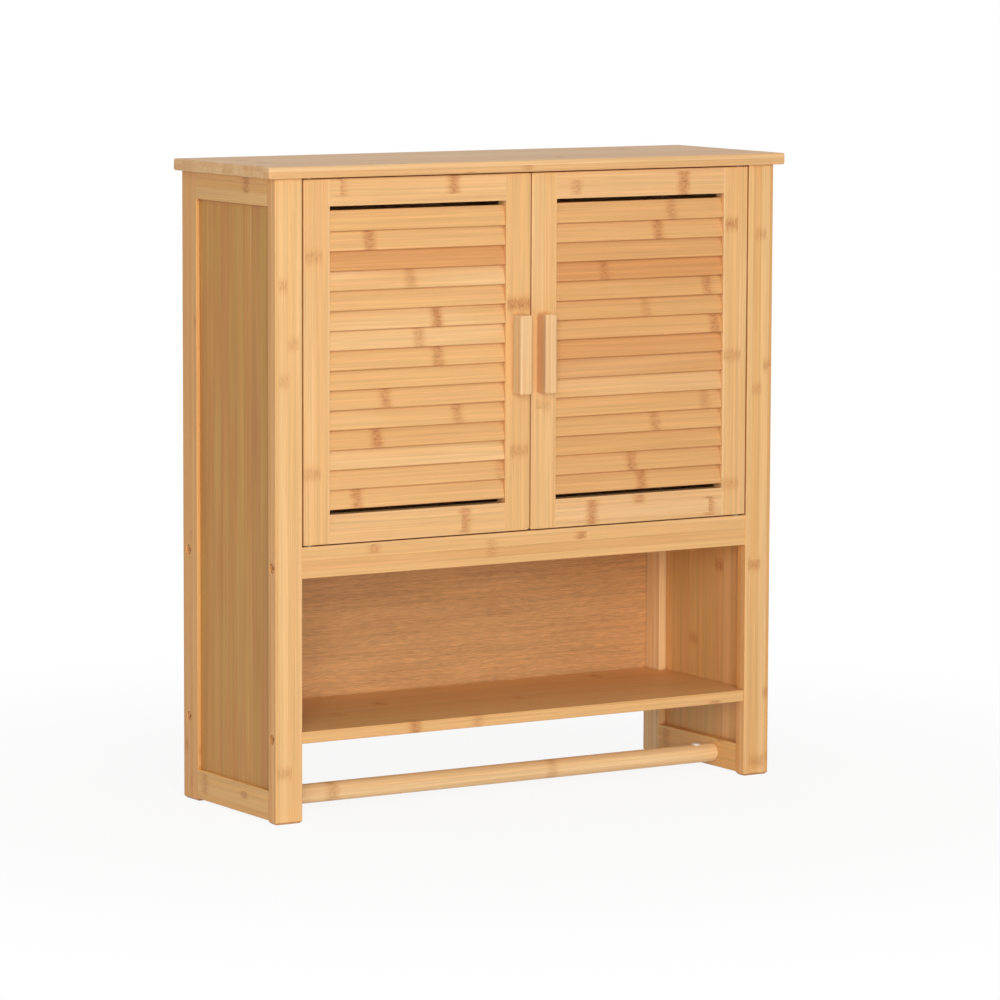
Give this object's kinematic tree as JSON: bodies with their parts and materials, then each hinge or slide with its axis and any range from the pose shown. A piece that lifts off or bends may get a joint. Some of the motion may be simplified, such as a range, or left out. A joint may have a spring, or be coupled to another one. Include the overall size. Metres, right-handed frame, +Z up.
{
  "type": "bathroom wall cabinet",
  "caption": "Laminated bamboo wall cabinet with louvred swing doors over an open shelf and a round towel bar between the side frames.",
  "frame": {"origin": "on the ground plane under the feet, in the middle of the cabinet's width and of its depth with the handles counted in", "axes": "+X to the right as seen from in front of the doors, +Y from the doors to the wall, +Z up"},
  "size_m": [0.62, 0.209, 0.66],
  "materials": {
    "top_bamboo": "satin lacquered laminated bamboo, the grain along the width",
    "post_bamboo": "satin lacquered laminated bamboo, the grain upright",
    "rail_bamboo": "satin lacquered laminated bamboo, the grain along the rail",
    "panel_bamboo": "satin lacquered laminated bamboo in upright strips",
    "slat_bamboo": "satin lacquered bamboo, the grain along the slat",
    "shelf_bamboo": "satin lacquered laminated bamboo, the grain along the width",
    "back_bamboo": "lacquered bamboo plywood, the grain along the width",
    "bar_bamboo": "turned bamboo, satin lacquered",
    "handle_bamboo": "satin lacquered bamboo",
    "dowel_wood": "plain beech",
    "zinc_steel": "zinc plated",
    "bolt_steel": "bronze coloured plating",
    "pale_plastic": "moulded, pale beige",
    "magnet_ferrite": "bare dark ferrite"
  },
  "bodies": {
    "cabinet": {"top_panel": "top_bamboo", "right_front_post": "post_bamboo", "left_front_post": "post_bamboo", "right_rear_post": "post_bamboo", "left_rear_post": "post_bamboo", "right_top_side_rail": "rail_bamboo", "left_top_side_rail": "rail_bamboo", "right_bottom_side_rail": "rail_bamboo", "left_bottom_side_rail": "rail_bamboo", "right_side_panel": "panel_bamboo", "left_side_panel": "panel_bamboo", "back_panel": "back_bamboo", "hanging_rail": "rail_bamboo", "front_rail": "rail_bamboo", "cabinet_floor": "shelf_bamboo", "open_shelf": "shelf_bamboo", "inner_shelf": "shelf_bamboo", "shelf_pins": "zinc_steel", "towel_bar": "bar_bamboo", "towel_bar_cams": "pale_plastic", "towel_bar_cam_dowels": "zinc_steel", "frame_bolts": "bolt_steel", "barrel_nuts": "zinc_steel", "top_panel_dowels": "dowel_wood", "side_rail_dowels": "dowel_wood", "hanging_rail_dowels": "dowel_wood", "lower_pivot_bushings": "pale_plastic", "upper_pivot_bushings": "pale_plastic", "catch_body": "pale_plastic", "catch_magnets": "magnet_ferrite", "catch_screws": "zinc_steel"},
    "right_door": {"right_door_outer_stile": "post_bamboo", "right_door_inner_stile": "post_bamboo", "right_door_top_rail": "rail_bamboo", "right_door_bottom_rail": "rail_bamboo", "right_door_slats": "slat_bamboo", "right_door_handle": "handle_bamboo", "right_handle_screws": "zinc_steel", "right_door_pivot_pins": "zinc_steel", "right_strike_plate": "zinc_steel", "right_strike_screw": "zinc_steel"},
    "left_door": {"left_door_outer_stile": "post_bamboo", "left_door_inner_stile": "post_bamboo", "left_door_top_rail": "rail_bamboo", "left_door_bottom_rail": "rail_bamboo", "left_door_slats": "slat_bamboo", "left_door_handle": "handle_bamboo", "left_handle_screws": "zinc_steel", "left_door_pivot_pins": "zinc_steel", "left_strike_plate": "zinc_steel", "left_strike_screw": "zinc_steel"}
  },
  "joints": [
    {"name": "right_door_hinge", "type": "hinge", "parent": "cabinet", "child": "right_door", "pos_m": [0.2585, -0.083, 0.46365], "axis": [0, 0, 1], "range_deg": [0, 110]},
    {"name": "left_door_hinge", "type": "hinge", "parent": "cabinet", "child": "left_door", "pos_m": [-0.2585, -0.083, 0.46365], "axis": [0, 0, -1], "range_deg": [0, 110]}
  ]
}
